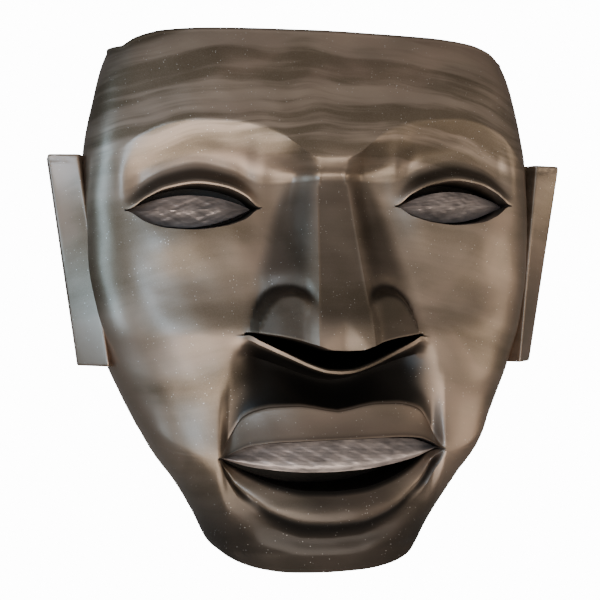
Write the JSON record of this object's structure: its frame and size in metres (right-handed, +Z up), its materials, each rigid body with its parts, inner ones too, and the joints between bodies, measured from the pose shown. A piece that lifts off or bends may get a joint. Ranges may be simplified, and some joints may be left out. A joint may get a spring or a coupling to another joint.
{
  "type": "wall-hung face mask",
  "caption": "Carved stone face mask with a hollow back, inlaid eyes and mouth, slab ears, and a swinging ring on a plate for hanging it on a wall.",
  "frame": {"origin": "pivot of the hanging ring, on the middle plane", "axes": "+Z up, -Y out of the face towards the viewer, +X to the viewer's right"},
  "size_m": [0.19, 0.0733, 0.19],
  "materials": {
    "carved_stone": "dark brown volcanic-glass-like stone, polished, with a bronze sheen in flow bands",
    "inlay_stone": "grey-pink stone, ground matte",
    "plate_steel": "zinc plated, brushed",
    "ring_steel": "drawn wire, zinc plated",
    "screw_steel": "zinc plated, slotted",
    "sleeve_brass": "turned, unpolished",
    "pad_felt": "pressed wool felt, dark grey"
  },
  "bodies": {
    "mask": {"mask_shell": "carved_stone", "eye_inlay_left": "inlay_stone", "eye_inlay_right": "inlay_stone", "mouth_inlay": "inlay_stone", "hanger_plate": "plate_steel", "hanger_screw_left": "screw_steel", "hanger_screw_right": "screw_steel", "anchor_sleeve_left": "sleeve_brass", "anchor_sleeve_right": "sleeve_brass", "felt_pad_upper_left": "pad_felt", "felt_pad_upper_right": "pad_felt", "felt_pad_lower_left": "pad_felt", "felt_pad_lower_right": "pad_felt"},
    "ring": {"hanging_ring": "ring_steel"}
  },
  "joints": [
    {"name": "ring_swing", "type": "hinge", "parent": "mask", "child": "ring", "pos_m": [0, 0, 0], "axis": [1, 0, 0], "range_deg": [-8, 180]}
  ]
}
